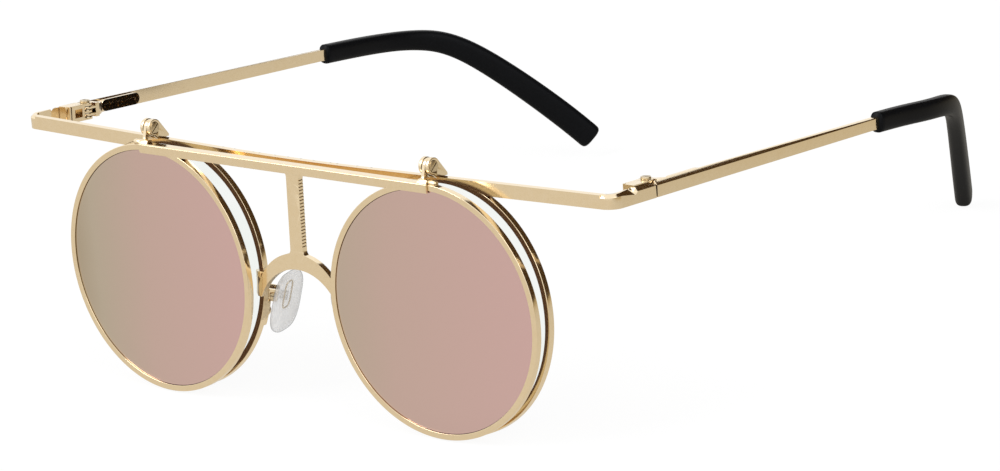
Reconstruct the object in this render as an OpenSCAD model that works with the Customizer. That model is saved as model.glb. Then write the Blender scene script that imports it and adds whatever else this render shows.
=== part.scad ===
// Flip up sunglasses: a long brow bar carries two clear rear lenses,
// a second front with two mirrored lenses hangs from it on two small hinges,
// and two temples fold on spring-type five-barrel hinges.
// Units are millimetres. +Z is up, +Y runs back along the temples, the lenses face -Y.
// The pair stands on the bottom of the rear rims and on the ends of the two tips.

/* [Lenses and rims] */
// visible diameter of each lens
lens_d = 45.6; // [44:0.1:47]
// width of the rim seen from the front
rim_face = 1.1; // [1:0.05:1.3]
// depth of each rim from front to back
rim_depth = 1.3; // [1.2:0.05:1.5]
// gap between the two front rims at their closest
front_gap = 20.8; // [19.5:0.1:23]
// angle each front lens is swept back at its outer edge
wrap = 2; // [1:0.1:3]
// gap between the two rear rims at their closest
rear_gap = 21.6; // [21.2:0.1:23]
// thickness of each lens
lens_t = 1.0; // [0.8:0.05:1.1]
// how far the rear rims sit behind the front rims, at the lens centres
rear_set = 3.93; // [3.8:0.05:4.1]
// backward lean of the rear rims and the bridge against the closed front
lean = 2.8; // [2.4:0.1:3.2]

/* [Brow bar] */
// height of the flat strip
bar_h = 2.55; // [2.3:0.05:2.8]
// thickness of the flat strip
strip_t = 1.2; // [1.1:0.05:1.3]
// how far the underside of the brow bar lies below the top of the rims
bar_drop = 2.35; // [2.1:0.05:2.6]
// front face of the brow bar at the middle, behind the front rims
bar_y = 2.8; // [2.6:0.05:3]
// angle of the swept back half bars
bar_sweep = 3.56; // [3:0.1:4]
// outer radius of the bent corners
corner_r = 2.6; // [2:0.1:3.2]
// how far the hinges stand out beyond the front rims
end_reach = 14.58; // [13.8:0.02:17]
// distance of the temple hinge pin behind the front rims
hinge_y = 19.6; // [18:0.1:21]

/* [Front bar and flip hinge] */
// how far the front bar runs past each front lens centre
fbar_past = 1.5; // [0.7:0.1:2.1]
// height of the front bar
fbar_h = 1.85; // [1.7:0.05:2]
// how far the front bar stands proud of the front rims
fbar_lip = 0.4; // [0.35:0.05:0.6]
// flip pin height above the top of the bars
flip_rise = 2.4; // [2.2:0.1:2.8]
// flip pin distance behind the front rims
flip_y = 2.9; // [2.7:0.1:3.1]
// radius of the flip hinge ears
ear_r = 1.6; // [1.5:0.05:1.7]
// place of each flip hinge beyond the front lens centre
flip_past = 0.48; // [0.2:0.02:0.6]

/* [Temples] */
// backward fall of the temples, degrees
fall = 3.79; // [3:0.1:4.5]
// inward run of the temples, degrees
toe = 2.07; // [1:0.1:2.5]
// temple height at the hinge
temple_h0 = 2.85; // [2.7:0.05:3]
// temple height where the tip starts
temple_h1 = 2.25; // [2.1:0.05:2.4]
// length of the bare metal temple, hinge pin to tip
temple_l = 67.4; // [64:0.1:70]
// tip height
tip_h = 3.9; // [3.6:0.1:4.2]
// tip thickness
tip_t = 2.8; // [2.5:0.1:3]

/* [Bridge and nose pads] */
// width of the bridge post
post_w = 3.1; // [2.8:0.1:3.4]
// thickness of the bridge plate
plate_t = 1.2; // [1.1:0.05:1.3]
// radius of the top edge of the bridge arch
arch_top_r = 10.9; // [10.7:0.1:11.3]
// height of the top of the arch above the lens centres
arch_top = 6.2; // [6:0.1:6.5]
// radius of the underside of the bridge arch
arch_r = 10.5; // [10.3:0.1:10.8]
// height of the underside of the arch above the lens centres
arch_under = 3.2; // [3:0.1:3.4]
// width of a nose pad
pad_w = 7.6; // [7:0.1:8.4]
// height of a nose pad
pad_h = 13.4; // [12.5:0.1:14.2]
// thickness of a nose pad
pad_t = 2.4; // [2:0.1:2.6]

/* [Fits] */
// radial play of a turning pin in its hole
run_fit = 0.05; // [0.03:0.01:0.08]
// radial gap of a fixed screw in its hole
fix_fit = 0.02; // [0.01:0.01:0.03]
// gap between hinge leaves
leaf_gap = 0.12; // [0.1:0.01:0.15]

/* [Hidden] */
$fn = 64;
eps = 0.01;
ri = lens_d / 2;
ro = ri + rim_face;
cx = ro + front_gap / 2;
rear_cx = ro + rear_gap / 2;
half_w = cx + ro + end_reach;
fbar_half = cx + fbar_past;
flip_x = cx + flip_past;
bar_z = ro - bar_drop;
bar_top = bar_z + bar_h;
flip_z = bar_top + flip_rise;
edge = 0.2;
groove_h = 0.75;
groove_w = 0.42;
groove_d = 0.45;
arc_r = 312;
arc_x = arc_r * sin(bar_sweep);
arc_y = bar_y + arc_r * (1 - cos(bar_sweep));
// outer line of the side strips: x = side_x - y * tan(toe)
side_x = half_w + hinge_y * tan(toe);
// sharp outer corner where the half bar and the side strip would meet
corner_x = (side_x - tan(toe) * (arc_y - arc_x * tan(bar_sweep))) / (1 + tan(toe) * tan(bar_sweep));
corner_y = arc_y + (corner_x - arc_x) * tan(bar_sweep);
turn = 90 + toe - bar_sweep;
tangent_l = corner_r * tan(turn / 2);
half_bar_l = (corner_x - arc_x) / cos(bar_sweep) - tangent_l;
bend_cx = arc_x + half_bar_l * cos(bar_sweep) - corner_r * sin(bar_sweep);
bend_cy = arc_y + half_bar_l * sin(bar_sweep) + corner_r * cos(bar_sweep);
side_y0 = bend_cy + corner_r * sin(toe);
side_x0 = bend_cx + corner_r * cos(toe);
// temple hinge pin
pin_in = 1.5;
hinge_x = half_w - strip_t - pin_in;
hinge_z = side_low(hinge_y) + temple_h0 / 2;
split_lo = -0.5;
split_hi = -0.2;
side_l = (hinge_y + split_lo - side_y0) / cos(toe);
arc_steps = 24;
bend_steps = 18;
// underside of the side strips and the temples, falling from the corner
function side_low(y) = bar_z - (y - corner_y) * tan(fall);
leaf_h = 3.2;
leaf_n = 5;
leaf_step = (leaf_h + leaf_gap) / leaf_n;
knuckle_r = 1.35;
pin_r = 0.55;
// bridge plate ahead of the plane of the rear rims
plate_y = (rear_set - bar_y + bar_z * tan(lean)) * cos(lean);
// flip hinge: leaves along the pin, measured from the place of the hinge
flip_pin_r = 0.5;
bracket_x0 = -1.85;
strap_x0 = -1.08;
strap_x1 = -0.38;
bracket_x1 = 0.4;
lock_r = 0.55;
lock_x = fbar_half;
lock_at = ro + 0.3;
lock_z = sqrt(lock_at * lock_at - (lock_x + 0.8 - cx) * (lock_x + 0.8 - cx));
// nose pad: place, turn and splay, and its boss behind
pad_pos = [9.9, 8.6, -4.6];
pad_turn = 38;
pad_splay = 20;
boss_y = pad_t / 2 + 1.35;
boss_half = 0.55;
// points of the pad arm in the upright frame: from the rim foot to the back of the box
arm_pts = [[12.55, 5.1, -7.6], [12.6, 6.3, -7.4], [13.9, 7.2, -6.6], [14.2, 6.8, -5.0], [12.95, 6.15, -3.7]];
// tip centre line, in the frame of the temple hinge
tip_mid = strip_t / 2 + pin_in;
tip_c = [
    [tip_mid, temple_l, -0.25],
    [tip_mid, temple_l + 8.6, -0.25],
    [tip_mid + 0.5, temple_l + 17.6, -0.5],
    [tip_mid - 1.5, temple_l + 26.6, -0.8],
    [tip_mid - 6.4, temple_l + 34.2, -3.2],
    [tip_mid - 16.6, temple_l + 51.1, -18.8],
    [tip_mid - 20.4, temple_l + 57.4, -27.4]
];
tip_core = 20;
tip_end = tip_c[6];
// place of the tip end in the upright frame
tip_cz = cos(toe) * tip_end[1] + sin(toe) * tip_end[0];
end_y = hinge_y + tip_cz * cos(fall) + tip_end[2] * sin(fall);
end_z = hinge_z - tip_cz * sin(fall) + tip_end[2] * cos(fall);
end_r = 1.3;
// leaning angle at which the rear rims and the tip ends touch one plane
rim_low_y = rear_set + (rim_depth - edge) * cos(lean) - ro * sin(lean);
rim_low_z = -ro * cos(lean) - (rim_depth - edge) * sin(lean);
rest_a = end_z - rim_low_z;
rest_b = end_y - rim_low_y;
rest_tilt = acos(end_r / norm([rest_a, rest_b])) - atan2(rest_b, rest_a);
rest_z = rim_low_y * sin(rest_tilt) - rim_low_z * cos(rest_tilt);
rest_y = -69.658;
// steps along a tip, closer together at its rounded end
tip_steps = 34;
tip_u = concat([0, 0.03], [for (k = [1:tip_steps]) 0.03 + 5.72 * k / tip_steps],
    [for (k = [1:7]) 5.75 + 0.25 * sin(k * 90 / 7)]);

// Placing helpers

module stand() {
    translate([0, rest_y, rest_z]) rotate([-rest_tilt, 0, 0]) children();
}

module side(s) {
    if (s > 0) children();
    else mirror([1, 0, 0]) children();
}

// axis of a lens along +Y, origin in the front plane of the front rim
module lens_frame() {
    translate([cx, 0, 0]) rotate([0, 0, wrap]) children();
}

// axis of a rear lens along +Y, origin in the front plane of the rear rim
module rear_frame() {
    translate([rear_cx, rear_set, 0]) rotate([-lean, 0, 0]) children();
}

// origin on the temple hinge pin, +Y along the temple, +Z along the pin
module hinge_frame() {
    translate([hinge_x, hinge_y, hinge_z]) rotate([-fall, 0, 0]) rotate([0, 0, toe]) children();
}

// a solid of revolution about the lens axis, profile as [radius, depth]
module lathe_y(p, a = 360) {
    rotate([-90, 0, 0]) rotate_extrude(angle = a, $fn = 180) polygon(p);
}

module disc_y(r, y0, y1, n = 180) {
    translate([0, y0, 0]) rotate([-90, 0, 0]) cylinder(r = r, h = y1 - y0, $fn = n);
}

module rod_x(r, x0, x1, n = 48) {
    translate([x0, 0, 0]) rotate([0, 90, 0]) cylinder(r = r, h = x1 - x0, $fn = n);
}

module box(a, b) {
    translate(a) cube(b - a);
}

// Rims and lenses

// rim section: small edge breaks in front and behind, V groove for the lens edge
module rim_ring() {
    c = edge;
    d = rim_depth;
    lathe_y([[ri + c, 0], [ro - c, 0], [ro, c], [ro, d - c], [ro - c, d], [ri + 0.1, d], [ri, d - 0.1],
        [ri, groove_h + groove_w], [ri + groove_d, groove_h], [ri, groove_h - groove_w], [ri, c]]);
}

// flat lens with a bevelled edge that sits in the V groove
module lens_disc() {
    r = ri - 0.03;
    y0 = groove_h - lens_t / 2;
    y1 = groove_h + lens_t / 2;
    lathe_y([[0, y0], [r - 0.05, y0], [r, y0 + 0.05], [r, groove_h - groove_w + 0.02],
        [ri + groove_d - 0.05, groove_h], [r, groove_h + groove_w - 0.02], [r, y1 - 0.05], [r - 0.05, y1], [0, y1]]);
}

module front_rim(s) {
    color("goldenrod") stand() side(s) lens_frame() rim_ring();
}

module rear_rim(s) {
    color("goldenrod") stand() side(s) rear_frame() rim_ring();
}

module front_lens(s) {
    color("rosybrown") stand() side(s) lens_frame() lens_disc();
}

module rear_lens(s) {
    color("lightcyan") stand() side(s) rear_frame() lens_disc();
}

// Brow bar

// front line of the right half, moved back by d: arc, straight half bar, bend, side
function arc_line(d) = [for (k = [0:arc_steps])
    let (t = bar_sweep * k / arc_steps, r = arc_r - d)
    [r * sin(t), bar_y + arc_r - r * cos(t)]];
function bend_line(d) = [for (k = [0:bend_steps])
    let (t = bar_sweep - 90 + turn * k / bend_steps, r = corner_r - d)
    [bend_cx + r * cos(t), bend_cy + r * sin(t)]];
function side_end(d) = [side_x0 - d * cos(toe) - side_l * sin(toe), side_y0 - d * sin(toe) + side_l * cos(toe)];
function half_line(d) = concat(arc_line(d), bend_line(d), [side_end(d)]);
function turned(l) = [for (k = [len(l) - 1:-1:0]) l[k]];
function mirrored(l) = [for (k = [1:len(l) - 1]) [-l[k][0], l[k][1]]];

module bar_plan() {
    polygon(concat(half_line(0), turned(half_line(strip_t)), mirrored(half_line(strip_t)),
        turned(mirrored(half_line(0)))));
}

// level across the front, then falling with the temples and a little higher
module bar_side_view() {
    y1 = side_y0 + 4.6;
    y2 = hinge_y + 5;
    rotate([90, 0, 90]) translate([0, 0, -100]) linear_extrude(200)
        polygon([[0, bar_z], [corner_y, bar_z], [y2, side_low(y2)], [y2, side_low(y2) + temple_h0],
            [y1, side_low(y1) + temple_h0], [corner_y + 2, bar_top], [0, bar_top]]);
}

// 45 degree bevel round the upper outer edge of a corner
module bend_bevel() {
    step = turn / bend_steps;
    for (k = [0:bend_steps - 1])
        translate([bend_cx, bend_cy, bar_top - 0.5]) rotate([0, 0, bar_sweep - 90 + (k + 0.5) * step])
            translate([corner_r * cos(step / 2), 0, 0]) rotate([0, 45, 0]) translate([-3, -0.4, 0]) cube([6, 0.8, 3]);
}

module side_cuts() {
    bend_bevel();
    translate([side_x0, side_y0, side_low(side_y0)]) rotate([0, 0, toe]) {
        // long bevel on the upper outer edge
        translate([0, 0, temple_h0 - 0.65]) rotate([-fall, 0, 0]) rotate([0, 28, 0])
            translate([-3, 4.6, 0]) cube([6, side_l, 3]);
        // deeper facet that grows away from the corner
        translate([0, 0, bar_top - side_low(side_y0) - 0.5]) rotate([-fall - 7, 0, 0]) rotate([0, 45, 0])
            translate([-3, -0.5, 0]) cube([6, 4.4, 3]);
        translate([0, 3.9, bar_h - 1.25]) rotate([38, 0, 0]) rotate([0, 45, 0])
            translate([-3, 0, 0]) cube([6, 1.6, 3]);
        // rounded notch above the hinge split
        translate([-3, side_l + 0.15, temple_h0 - tan(fall) * side_l + 0.25]) rod_x(0.75, 0, 6);
    }
}

module brow_bar() {
    color("goldenrod") stand() difference() {
        intersection() {
            translate([0, 0, bar_z - 3]) linear_extrude(bar_h + 5) bar_plan();
            bar_side_view();
        }
        for (s = [-1, 1]) side(s) {
            side_cuts();
            // seat for the rear rim
            rear_frame() disc_y(ro, -6, rim_depth);
        }
    }
}

// Bridge

module arch_2d() {
    difference() {
        intersection() {
            translate([0, arch_top - arch_top_r]) circle(r = arch_top_r, $fn = 120);
            translate([-10.2, -2.9]) square([20.4, 12]);
        }
        translate([0, arch_under - arch_r]) circle(r = arch_r, $fn = 120);
    }
}

// post with small fillets below the bar and above the arch
module post_2d() {
    f = 1.1;
    post_z0 = arch_top - 0.4;
    z1 = bar_z + 0.4;
    translate([-post_w / 2, post_z0]) square([post_w, z1 - post_z0]);
    for (m = [0, 1]) mirror([m, 0]) {
        difference() {
            translate([post_w / 2 - eps, bar_z - f]) square([f + eps, f + 0.2]);
            translate([post_w / 2 + f, bar_z - f]) circle(r = f, $fn = 32);
        }
        difference() {
            translate([post_w / 2 - eps, post_z0 - 0.2]) square([f + eps, f + 0.2]);
            translate([post_w / 2 + f, post_z0 + f]) circle(r = f, $fn = 32);
        }
    }
}

module bridge_plate() {
    color("goldenrod") stand() difference() {
        union() {
            translate([0, rear_set, 0]) rotate([-lean, 0, 0]) translate([0, -plate_y, 0]) rotate([90, 0, 0])
                translate([0, 0, -plate_t]) linear_extrude(plate_t) union() {
                    arch_2d();
                    post_2d();
                }
            // ends bent back on to the front of the rear rims
            for (m = [0, 1]) mirror([m, 0, 0]) rear_frame() rotate([0, 173, 0]) rotate([-90, 0, 0])
                rotate_extrude(angle = 11, $fn = 180) polygon([[ro + 1.3, 0.05 - plate_y], [ro + 0.5, 0.05 - plate_y],
                    [ri + 0.15, -1], [ri + 0.15, 0], [ro + 0.1, 0], [ro + 1.3, plate_t - plate_y - 0.05]]);
        }
        // fine ridges on one narrow side of the post
        for (z = [arch_top + 1.6:0.62:bar_z - 1.2]) translate([post_w / 2, 0, z]) rotate([0, 45, 0])
            translate([-0.09, 1, -0.09]) cube([0.18, 5, 0.18]);
        // nothing stands in the bar
        translate([-10, 0, bar_z]) cube([20, 8, 5]);
    }
}

// Front bar and flip hinge

module front_bar() {
    d = rim_depth;
    z0 = bar_top - fbar_h;
    c = 0.45;
    color("goldenrod") stand() difference() {
        rotate([90, 0, 90]) translate([0, 0, -fbar_half]) linear_extrude(2 * fbar_half)
            polygon([[-fbar_lip + 0.18, z0], [d, z0], [d, bar_top], [-fbar_lip + 0.2, bar_top],
                [-fbar_lip, bar_top - 0.2], [-fbar_lip, z0 + c]]);
        lens_frame() disc_y(ro, 0, 3);
        mirror([1, 0, 0]) lens_frame() disc_y(ro, 0, 3);
    }
}

// ear plate standing on the YZ plane, origin on the flip pin
module ear(x0, x1, tail) {
    rod_x(ear_r, x0, x1);
    zb = bar_top - flip_z;
    yt = tail;
    p0 = tangent_up(yt, zb + 0.45, ear_r);
    rotate([90, 0, 90]) translate([0, 0, x0]) linear_extrude(x1 - x0)
        polygon([p0, [yt, zb + 0.45], [yt, zb], [0.7, zb], [-0.35, -ear_r * 0.95], [0, 0]]);
}

// point where a line from outside touches a circle about the origin, upper side
function tangent_up(y, z, r) =
    let (d = norm([y, z]), a = atan2(z, y) + acos(r / d)) [r * cos(a), r * sin(a)];

module flip_bracket(s) {
    zb = bar_top - flip_z;
    color("goldenrod") stand() translate([s * flip_x, flip_y, flip_z]) difference() {
        union() {
            ear(bracket_x0, strap_x0 - leaf_gap, 3);
            ear(strap_x1 + leaf_gap, bracket_x1, 3.5);
            box([bracket_x0, 1.7, zb], [bracket_x1, 3, zb + 0.45]);
        }
        rod_x(flip_pin_r + fix_fit, -5, 5);
        rod_x(1.1 + fix_fit, bracket_x1 - 0.25, 5);
    }
}

module flip_screw(s) {
    color("lightgray") stand() translate([s * flip_x, flip_y, flip_z]) difference() {
        union() {
            rod_x(flip_pin_r, bracket_x0, bracket_x1 - 0.25);
            rod_x(1.1, bracket_x1 - 0.25, bracket_x1 + 0.1);
        }
        translate([bracket_x1 - 0.08, 0, 0]) rotate([40, 0, 0]) translate([0, -2, -0.13]) cube([1, 4, 0.26]);
    }
}

// strap on top of the front bar, its ear turns on the flip pin
module flip_strap(s) {
    zb = bar_top - flip_z;
    yf = -fbar_lip - flip_y;
    yb = rim_depth - flip_y;
    color("goldenrod") stand() translate([s * flip_x, flip_y, flip_z]) difference() {
        union() {
            rod_x(ear_r - 0.1, strap_x0, strap_x1);
            rotate([90, 0, 90]) translate([0, 0, strap_x0]) linear_extrude(strap_x1 - strap_x0)
                polygon([[yf + 0.9, zb], [yb, zb], [-0.75, -1.2], [0, 0], [-1.48, 0.2], [yf + 1.4, zb + 1]]);
            rotate([90, 0, 90]) translate([0, 0, strap_x0]) linear_extrude(2.1)
                polygon([[yf + 0.1, zb], [yb, zb], [yb, zb + 0.35], [yf + 1.2, zb + 0.6], [yf + 0.4, zb + 0.6]]);
        }
        rod_x(flip_pin_r + run_fit, -5, 5);
        // room for the leaves of the bracket
        rod_x(ear_r + 0.15, strap_x1, 5);
    }
}

// small closing barrel beside each end of the front bar, on top of the rim
module rim_lock(s) {
    color("goldenrod") stand() side(s) difference() {
        translate([lock_x, rim_depth / 2, lock_z]) rod_x(lock_r, 0.12, 1.6);
        lens_frame() disc_y(ro, -1, 3);
        translate([lock_x, rim_depth / 2, lock_z]) rod_x(0.25 + fix_fit, -1, 4);
    }
}

module rim_screw(s) {
    color("lightgray") stand() side(s) translate([lock_x, rim_depth / 2, lock_z]) difference() {
        union() {
            rod_x(0.25, 0.2, 1.6);
            rod_x(0.45, 1.6, 1.85);
        }
        translate([1.75, -1, -0.07]) cube([1, 2, 0.14]);
    }
}

// Temple hinge, drawn about its pin

module rod_z(r, z0, z1, n = 48) {
    translate([0, 0, z0]) cylinder(r = r, h = z1 - z0, $fn = n);
}

function leaf_z0(i) = -leaf_h / 2 + i * leaf_step;
function leaf_z1(i) = leaf_z0(i) + leaf_step - leaf_gap;

module frame_hinge(s) {
    top = leaf_h / 2;
    color("goldenrod") stand() side(s) hinge_frame() difference() {
        union() {
            // base block soldered to the side strip
            box([-1.2, -5.4, -top], [pin_in, -1.2, top]);
            for (i = [0, 2, 4]) {
                rod_z(knuckle_r, leaf_z0(i), leaf_z1(i));
                box([-1.2, -1.6, leaf_z0(i)], [1.2, 0, leaf_z1(i)]);
            }
        }
        // window through the leaf
        box([-2, -3.7, -0.8], [0.9, -1.8, 0.8]);
        // folded edges of the stamped leaf
        box([-1.21, -4.75, -2], [-0.85, -4.5, 2]);
        box([-2, -5.41, -2], [-0.4, -5.1, 2]);
        // room for the two temple leaves
        for (i = [1, 3]) rod_z(knuckle_r + 0.15, leaf_z0(i) - leaf_gap, leaf_z1(i) + leaf_gap);
        rod_z(pin_r + fix_fit, -5, 5);
    }
}

module temple_hinge(s) {
    color("goldenrod") stand() side(s) hinge_frame() difference() {
        union() {
            for (i = [1, 3]) {
                rod_z(knuckle_r, leaf_z0(i), leaf_z1(i));
                box([-1.2, 0, leaf_z0(i)], [pin_in, 2, leaf_z1(i)]);
            }
            box([-1.2, 1.7, -1.35], [pin_in, 2.6, 1.35]);
            // pointed end that meets the housing
            translate([0, 0, -1.1]) linear_extrude(2.2)
                polygon([[pin_in, 2.5], [-1.2, 2.5], [-0.9, 3.2], [0.2, 4.6], [pin_in, 4.6]]);
        }
        for (i = [0, 2, 4]) rod_z(knuckle_r + 0.15, leaf_z0(i) - leaf_gap, leaf_z1(i) + leaf_gap);
        rod_z(pin_r + run_fit, -5, 5);
    }
}

module hinge_screw(s) {
    top = leaf_h / 2;
    color("lightgray") stand() side(s) hinge_frame() difference() {
        union() {
            rod_z(pin_r, -top, top);
            rod_z(0.95, top, top + 0.45);
        }
        translate([-2, -0.12, top + 0.22]) cube([4, 0.24, 1]);
    }
}

// pill shaped housing on the inside of the temple
module spring_housing(s) {
    r = 1.15;
    l = 10;
    color("goldenrod") stand() side(s) hinge_frame() difference() {
        translate([0.35, 4.7, 0]) rotate([0, 90, 0]) linear_extrude(pin_in - 0.35) union() {
            translate([-r, r]) square([2 * r, l - 2 * r]);
            translate([0, r]) circle(r = r, $fn = 48);
            translate([0, l - r]) circle(r = r, $fn = 48);
        }
        // slot for the slider
        box([0.3, 5.6, -0.25], [0.7, 13.6, 0.25]);
    }
}

// Temples

// tapered strip with a long bevel on its upper outer edge, and the thinner core inside the tip
module temple_bar(s) {
    zb = -temple_h0 / 2;
    h1 = temple_h1;
    color("goldenrod") stand() side(s) hinge_frame() difference() {
        union() {
            translate([pin_in, 0, zb]) rotate([90, 0, 90]) linear_extrude(strip_t)
                polygon([[split_hi, 0], [temple_l, 0], [temple_l, h1], [split_hi, temple_h0]]);
            box([pin_in + 0.1, temple_l - 0.5, zb + 0.25], [pin_in + strip_t - 0.1, temple_l + tip_core, zb + h1 - 0.25]);
        }
        // bevel that narrows away from the hinge
        translate([pin_in + strip_t, 0, zb + temple_h0 - 0.65]) rotate([-0.1, 0, 0]) rotate([0, 28, 0])
            translate([-3, -1, 0]) cube([6, 100, 3]);
        // rounded notch above the hinge split
        translate([0, (split_lo + split_hi) / 2, temple_h0 / 2 + 0.25]) rod_x(0.75, 0, 6);
    }
}

// closed ring of points: rounded oval with half sizes a, b and power p
function oval(a, b, p, n) = [for (i = [0:n - 1])
    let (c = cos(360 * i / n), s = sin(360 * i / n))
    [a * sign(c) * pow(abs(c), 2 / p), b * sign(s) * pow(abs(s), 2 / p)]];

// uniform cubic spline through a padded list of control points
function pad_list(c) = concat([2 * c[0] - c[1]], c, [2 * c[len(c) - 1] - c[len(c) - 2]]);
function spline_at(q, u) =
    let (i = min(floor(u), len(q) - 4), t = u - i)
    (pow(1 - t, 3) * q[i] + (3 * pow(t, 3) - 6 * t * t + 4) * q[i + 1]
        + (-3 * pow(t, 3) + 3 * t * t + 3 * t + 1) * q[i + 2] + pow(t, 3) * q[i + 3]) / 6;
function unit(v) = v / norm(v);

// solid swept along a spline: w(k) and h(k) give the half sizes at each step
module sweep(c, us, w, h, p, n) {
    q = pad_list(c);
    m = len(us);
    pts = [for (k = [0:m - 1])
        let (
            o = spline_at(q, us[k]),
            t = unit(spline_at(q, min(us[k] + 0.02, len(q) - 3)) - spline_at(q, max(us[k] - 0.02, 0))),
            sx = unit(cross(t, [0, 0, 1])),
            up = cross(sx, t),
            ring = oval(w[k], h[k], p, n)
        )
        for (r = ring) o + r[0] * sx + r[1] * up];
    last = (m - 1) * n;
    sides = [for (k = [0:m - 2]) for (i = [0:n - 1])
        let (j = (i + 1) % n)
        [k * n + i, k * n + j, (k + 1) * n + j, (k + 1) * n + i]];
    caps = [[for (i = [0:n - 1]) n - 1 - i], [for (i = [0:n - 1]) last + i]];
    polyhedron(points = pts, faces = concat(caps, sides), convexity = 4);
}

function tip_scale(u) = u < 0.02 ? 0.93 : u > 5.75 ? sqrt(max(0.02, 1 - pow((u - 5.75) / 0.2525, 2))) : 1;
function tip_taper(u) = 1 - 0.09 * u / 6;

module temple_tip(s) {
    n = 26;
    w = [for (u = tip_u) tip_t / 2 * tip_scale(u) * tip_taper(u)];
    h = [for (u = tip_u) tip_h / 2 * tip_scale(u) * tip_taper(u)];
    zb = -temple_h0 / 2;
    color("black") stand() side(s) hinge_frame() difference() {
        sweep(tip_c, tip_u, w, h, 2.5, n);
        box([pin_in + 0.1, temple_l - 1, zb + 0.25],
            [pin_in + strip_t - 0.1, temple_l + tip_core + 0.02, zb + temple_h1 - 0.25]);
    }
}

// Nose pads

// origin in the middle of the pad, +Z up the pad, +Y from the nose toward the arm
module pad_frame() {
    translate(pad_pos) rotate([0, -pad_splay, 0]) rotate([0, 0, -90 - pad_turn]) children();
}

// pillow shaped pad: rings of rounded ovals stacked along the thickness
module pillow(w, h, t) {
    n = 32;
    m = 10;
    pts = [for (k = [0:m])
        let (a = -90 + 180 * k / m, f = 1 - 0.55 * (1 - cos(a)) * (1 - cos(a)))
        for (r = oval(w / 2 * f, h / 2 * f, 2.3, n)) [r[0], t / 2 * sin(a), r[1]]];
    sides = [for (k = [0:m - 1]) for (i = [0:n - 1])
        let (j = (i + 1) % n)
        [k * n + i, k * n + j, (k + 1) * n + j, (k + 1) * n + i]];
    caps = [[for (i = [0:n - 1]) n - 1 - i], [for (i = [0:n - 1]) m * n + i]];
    polyhedron(points = pts, faces = concat(caps, sides), convexity = 4);
}

module nose_pad(s) {
    color("whitesmoke") stand() side(s) pad_frame() difference() {
        union() {
            pillow(pad_w, pad_h, pad_t);
            translate([-boss_half, pad_t / 2 - 0.4, -0.9]) cube([2 * boss_half, boss_y - pad_t / 2 + 0.4, 1.8]);
            translate([0, boss_y, 0]) rod_x(0.9, -boss_half, boss_half);
        }
        translate([0, boss_y, 0]) rod_x(0.35 + run_fit, -3, 3);
    }
}

module pad_screw(s) {
    color("lightgray") stand() side(s) pad_frame() translate([0, boss_y, 0]) difference() {
        union() {
            rod_x(0.35, -1.1, 1.1);
            rod_x(0.6, 1.1, 1.4);
        }
        translate([1.25, -1, -0.08]) cube([1, 2, 0.16]);
    }
}

// arm: foot along the back of the rear rim, bent wire, open box for the pad boss
module pad_arm(s) {
    color("goldenrod") stand() side(s) difference() {
        union() {
            pad_frame() translate([0, boss_y, 0]) box([-1.1, -0.95, -1.2], [1.1, 1.5, 1.2]);
            arm_wire();
        }
        pad_frame() translate([0, boss_y, 0]) box([-boss_half - 0.12, -2, -3], [boss_half + 0.12, 1.15, 3]);
        pad_frame() translate([0, boss_y, 0]) rod_x(0.35 + fix_fit, -3, 3);
    }
}

module arm_wire() {
    us = [for (k = [0:18]) 4 * k / 18];
    r = [for (k = [0:18]) 0.5];
    sweep(arm_pts, us, r, r, 2, 14);
    rear_frame() translate([0, rim_depth, 0]) rotate([0, 156, 0]) rotate([-90, 0, 0])
        rotate_extrude(angle = 12, $fn = 180) translate([ri + 0.15, 0]) square([0.9, 0.7]);
}

brow_bar();
bridge_plate();
rear_rim(-1);  // rear_rim_left
rear_rim(1);  // rear_rim_right
rear_lens(-1);  // rear_lens_left
rear_lens(1);  // rear_lens_right
flip_bracket(-1);  // flip_bracket_left
flip_bracket(1);  // flip_bracket_right
flip_screw(-1);  // flip_screw_left
flip_screw(1);  // flip_screw_right
pad_arm(-1);  // pad_arm_left
pad_arm(1);  // pad_arm_right
nose_pad(-1);  // nose_pad_left
nose_pad(1);  // nose_pad_right
pad_screw(-1);  // pad_screw_left
pad_screw(1);  // pad_screw_right
frame_hinge(-1);  // frame_hinge_left
frame_hinge(1);  // frame_hinge_right
hinge_screw(-1);  // hinge_screw_left
hinge_screw(1);  // hinge_screw_right
front_bar();
front_rim(-1);  // front_rim_left
front_rim(1);  // front_rim_right
front_lens(-1);  // front_lens_left
front_lens(1);  // front_lens_right
flip_strap(-1);  // flip_strap_left
flip_strap(1);  // flip_strap_right
rim_lock(-1);  // rim_lock_left
rim_lock(1);  // rim_lock_right
rim_screw(-1);  // rim_screw_left
rim_screw(1);  // rim_screw_right
temple_bar(-1);  // temple_bar_left
temple_bar(1);  // temple_bar_right
temple_hinge(-1);  // temple_hinge_left
temple_hinge(1);  // temple_hinge_right
spring_housing(-1);  // spring_housing_left
spring_housing(1);  // spring_housing_right
temple_tip(-1);  // temple_tip_left
temple_tip(1);  // temple_tip_right
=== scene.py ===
"""Flip up sunglasses: finishes, rounded surfaces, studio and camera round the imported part.

Everything is in metres, in the frame of the CAD part: +X to the right seen from the front,
+Y back along the temples, +Z up. Each operator makes one group of pieces.
"""

import math

import bpy
import numpy as np
from mathutils import Matrix, Vector


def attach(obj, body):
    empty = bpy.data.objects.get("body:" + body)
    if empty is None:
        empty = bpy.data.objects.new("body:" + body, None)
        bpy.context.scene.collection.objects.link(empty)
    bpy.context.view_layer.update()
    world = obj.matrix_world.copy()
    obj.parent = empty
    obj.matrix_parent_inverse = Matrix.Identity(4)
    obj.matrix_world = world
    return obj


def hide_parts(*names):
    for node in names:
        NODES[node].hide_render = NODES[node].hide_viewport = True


bl_info = {
    "name": "Flip up sunglasses",
    "version": (1, 0, 0),
    "blender": (4, 5, 0),
    "location": "View3D > Sidebar > Sunglasses",
    "description": "Dresses the packed flip up sunglasses and sets the studio round them",
    "category": "Object",
}

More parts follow.
